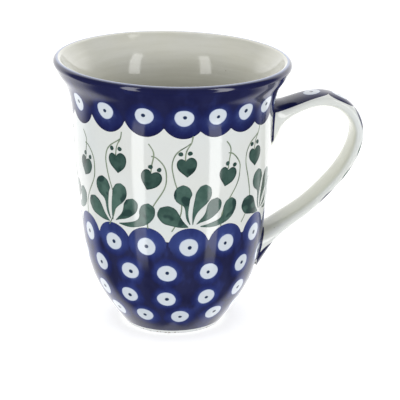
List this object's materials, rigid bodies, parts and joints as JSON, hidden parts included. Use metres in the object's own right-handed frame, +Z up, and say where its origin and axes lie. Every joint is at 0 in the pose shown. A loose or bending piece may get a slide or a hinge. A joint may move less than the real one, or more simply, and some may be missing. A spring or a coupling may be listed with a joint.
{
  "type": "stoneware mug",
  "caption": "Tall stoneware mug with a flared lip, strap handle and hand-painted cobalt and green folk decoration.",
  "frame": {"origin": "centre of the foot ring, on the plane the mug stands on", "axes": "+Z up along the cup's axis, +X towards the handle"},
  "size_m": [0.13, 0.098, 0.114],
  "materials": {
    "fired_clay": "bare off-white stoneware, matt, seen only on the foot ring",
    "slip": "fired joining slip under the glaze",
    "painted_glaze": "glossy clear glaze over a grey-white ground with cobalt and green brush decoration",
    "cream_glaze": "glossy warm grey-cream glaze",
    "white_glaze": "glossy grey-white glaze with cobalt brushwork on the outer face",
    "cobalt_paint": "deep cobalt blue underglaze paint, glossy, with brushed lighter patches",
    "leaf_paint": "grey-green underglaze paint, glossy, with darker brush patches",
    "dot_paint": "white dabs in the blue bands, glossy"
  },
  "bodies": {
    "root": {"cup_body": "fired_clay", "handle_strap": "fired_clay", "upper_slip_collar": "slip", "lower_slip_collar": "slip", "outside_glaze": "painted_glaze", "inside_glaze": "cream_glaze", "underside_glaze": "cream_glaze", "handle_glaze": "white_glaze"}
  },
  "joints": []
}
